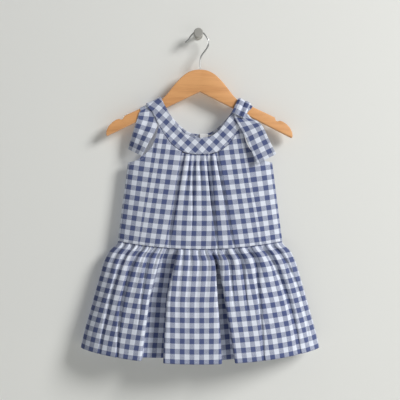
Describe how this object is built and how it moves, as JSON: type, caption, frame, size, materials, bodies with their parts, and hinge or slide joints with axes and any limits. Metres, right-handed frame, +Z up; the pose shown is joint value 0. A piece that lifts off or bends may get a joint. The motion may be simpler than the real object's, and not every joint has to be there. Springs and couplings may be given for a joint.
{
  "type": "gingham dress on a wooden hanger and wall peg",
  "caption": "Child's sleeveless gingham dress with a round bias yoke, gathered front, gathered skirt tier and shoulder ties, on a wooden hanger hooked over a wall peg.",
  "frame": {"origin": "centre of the wall peg's base, where it meets the wall", "axes": "+Z up, +Y into the wall, the front of the dress faces -Y"},
  "size_m": [0.4546, 0.0886, 0.6279],
  "materials": {
    "gingham": "plain-woven cotton in a yarn-dyed blue and white check",
    "label": "blank woven tape",
    "wood": "clear satin varnish",
    "wire": "satin",
    "peg": "satin"
  },
  "bodies": {
    "root": {"wall_peg": "peg", "hanger_hook": "wire", "hanger_wood": "wood", "front_yoke": "gingham", "back_yoke": "gingham", "front_panel": "gingham", "back_panel": "gingham", "skirt_front": "gingham", "skirt_back": "gingham", "left_tie": "gingham", "right_knot": "gingham", "right_tie": "gingham", "label": "label"}
  },
  "joints": []
}
